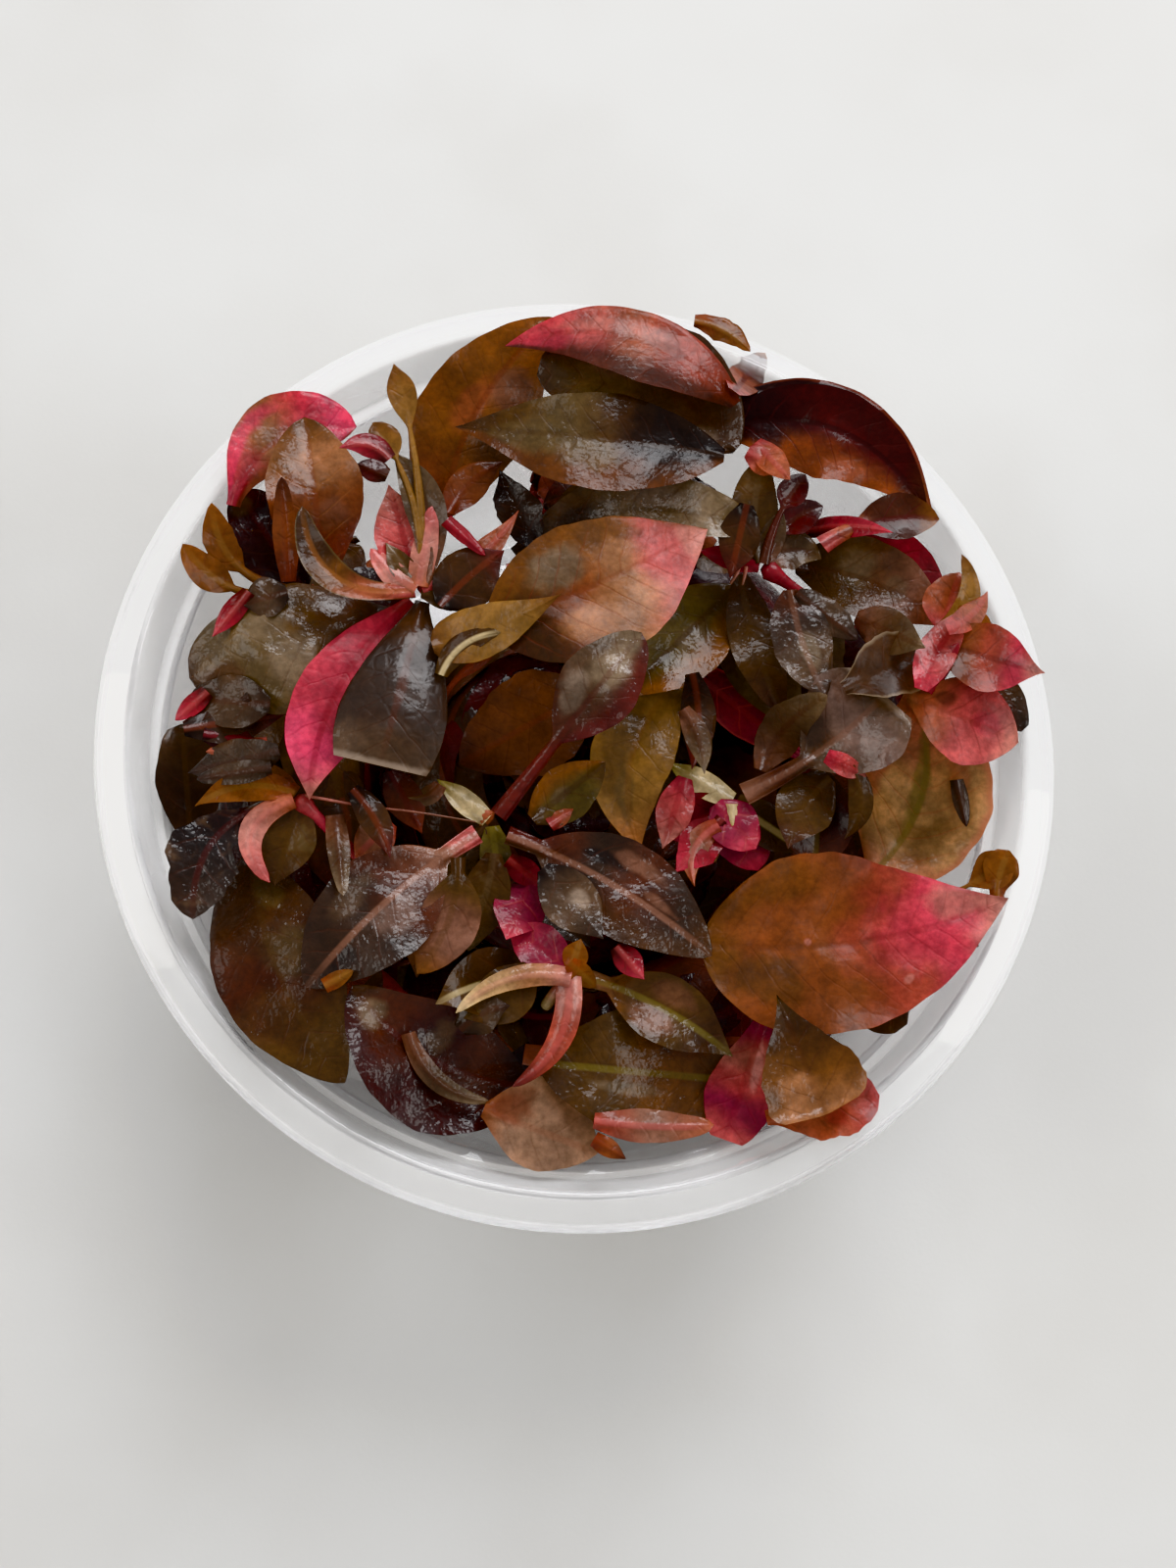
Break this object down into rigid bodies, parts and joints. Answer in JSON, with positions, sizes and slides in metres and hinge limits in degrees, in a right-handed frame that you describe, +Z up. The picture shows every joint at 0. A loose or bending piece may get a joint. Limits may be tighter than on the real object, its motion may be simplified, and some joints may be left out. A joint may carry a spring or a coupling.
{
  "type": "tub of aquarium plant cuttings",
  "caption": "Clear round plastic tub heaped to just above its rim with wet red, pink, amber and olive pointed leaves and stem tips of an aquarium plant.",
  "frame": {"origin": "on the axis of the tub, on the surface that its foot ring stands on", "axes": "+Z up along the tub's axis, +X to the right and +Y away from a person who looks down into the tub"},
  "size_m": [0.117, 0.117, 0.059],
  "materials": {
    "tub_plastic": "clear moulded plastic, smooth and colourless",
    "cutting": "dark wet maroon leaves on a stem",
    "shoot": "pink stem with small amber, maroon and pink leaves, wet",
    "leaf_olive": "olive-brown leaf with a paler midrib, wet",
    "leaf_amber": "amber leaf that lets light through, wet",
    "leaf_pink": "olive-brown to bright pink leaf, wet",
    "leaf_maroon": "dark maroon leaf, wet",
    "leaf_salmon": "salmon-coloured thin leaf, wet",
    "leaf_slate": "dark grey-brown leaf with a strong wet gloss"
  },
  "bodies": {
    "root": {"tub": "tub_plastic", "lower_cutting_front": "cutting", "lower_cutting_left": "cutting", "lower_cutting_right": "cutting", "middle_cutting_back": "cutting", "middle_cutting_centre": "cutting", "middle_cutting_left": "cutting", "middle_cutting_right": "cutting", "shoot_bottom": "shoot", "shoot_centre": "shoot", "shoot_left": "shoot", "shoot_left_edge": "shoot", "shoot_middle_right": "shoot", "shoot_right": "shoot", "shoot_right_edge": "shoot", "shoot_upper_left": "shoot", "shoot_upper_right": "shoot", "leaf_amber_top": "leaf_amber", "leaf_black_curled": "leaf_slate", "leaf_brown_stalked": "leaf_amber", "leaf_dark_curled": "leaf_maroon", "leaf_dark_cut": "leaf_slate", "leaf_dark_lower_right": "leaf_slate", "leaf_glossy_small": "leaf_slate", "leaf_glossy_top": "leaf_slate", "leaf_green_centre": "leaf_olive", "leaf_grey_centre": "leaf_slate", "leaf_grey_left": "leaf_slate", "leaf_grey_long": "leaf_slate", "leaf_grey_lower_left": "leaf_slate", "leaf_largest": "leaf_pink", "leaf_lilac_cut": "leaf_slate", "leaf_lower_left": "leaf_olive", "leaf_magenta_strip": "leaf_pink", "leaf_maroon_arched": "leaf_maroon", "leaf_ochre_centre": "leaf_amber", "leaf_olive_bottom": "leaf_olive", "leaf_olive_centre": "leaf_olive", "leaf_olive_corner": "leaf_olive", "leaf_olive_folded": "leaf_olive", "leaf_olive_fragment": "leaf_olive", "leaf_olive_mid_right": "leaf_olive", "leaf_olive_pink_centre": "leaf_pink", "leaf_olive_right": "leaf_olive", "leaf_olive_stalked": "leaf_olive", "leaf_orange_back": "leaf_amber", "leaf_pale_right": "leaf_salmon", "leaf_pink_bottom": "leaf_pink", "leaf_pink_left": "leaf_pink", "leaf_pink_over_rim": "leaf_pink", "leaf_pink_rim_left": "leaf_pink", "leaf_pink_tip_right": "leaf_pink", "leaf_pointed_top": "leaf_olive", "leaf_red_right": "leaf_maroon", "leaf_salmon_corner": "leaf_salmon", "leaf_salmon_left": "leaf_salmon", "leaf_salmon_right_edge": "leaf_salmon", "leaf_shiny_right": "leaf_slate", "leaf_tan_bottom": "leaf_salmon", "leaf_wall_left": "leaf_olive"}
  },
  "joints": []
}
